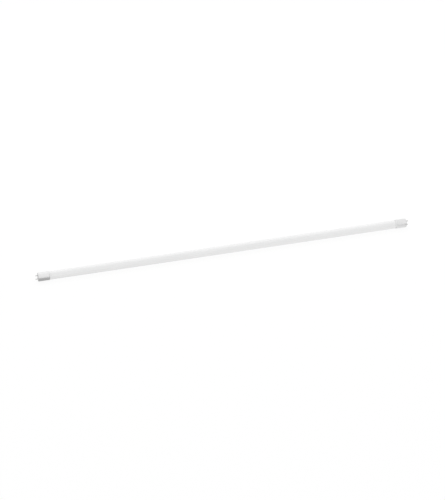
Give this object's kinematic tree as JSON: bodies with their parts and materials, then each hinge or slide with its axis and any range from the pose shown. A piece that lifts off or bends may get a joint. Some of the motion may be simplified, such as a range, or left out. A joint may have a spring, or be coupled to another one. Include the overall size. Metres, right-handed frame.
{
  "type": "led tube",
  "caption": "Long thin frosted glass lamp tube with satin metal end caps and two contact pins at each end, holding a strip of diodes and a small driver.",
  "frame": {"origin": "middle of the tube, on its axis", "axes": "X along the tube with the driver's end at -X, Z along the line through the two pins of an end, and the diodes facing -Y"},
  "size_m": [1.2136, 0.0278, 0.0278],
  "materials": {
    "frosted_glass": "frosted white inside, smooth outside",
    "cap_metal": "satin",
    "cement": "matt",
    "insulator_plastic": "fine grain",
    "pin_metal": "nickel plated",
    "circuit_board": "solder mask",
    "led_strip": "white solder mask",
    "led_package": "satin, yellow window",
    "adhesive": "clear to white",
    "tinned_copper": "tinned",
    "black_plastic": "satin",
    "fuse_ceramic": "lacquered",
    "capacitor_sleeve": "shrink sleeve",
    "ferrite": "matt",
    "copper_winding": "enamelled",
    "film_resin": "dipped"
  },
  "bodies": {
    "root": {"glass_tube": "frosted_glass", "left_cap": "cap_metal", "right_cap": "cap_metal", "left_cap_cement": "cement", "right_cap_cement": "cement", "left_insulator": "insulator_plastic", "right_insulator": "insulator_plastic", "left_upper_pin": "pin_metal", "left_lower_pin": "pin_metal", "right_upper_pin": "pin_metal", "right_lower_pin": "pin_metal", "left_contact_board": "circuit_board", "right_contact_board": "circuit_board", "shorting_link": "tinned_copper", "led_board": "led_strip", "board_adhesive": "adhesive", "leds": "led_package", "driver_board": "circuit_board", "header_body": "black_plastic", "header_pins": "pin_metal", "input_fuse": "fuse_ceramic", "bridge_rectifier": "black_plastic", "control_chip": "black_plastic", "bulk_capacitor": "capacitor_sleeve", "choke_core": "ferrite", "choke_winding": "copper_winding", "film_capacitor": "film_resin"}
  },
  "joints": []
}
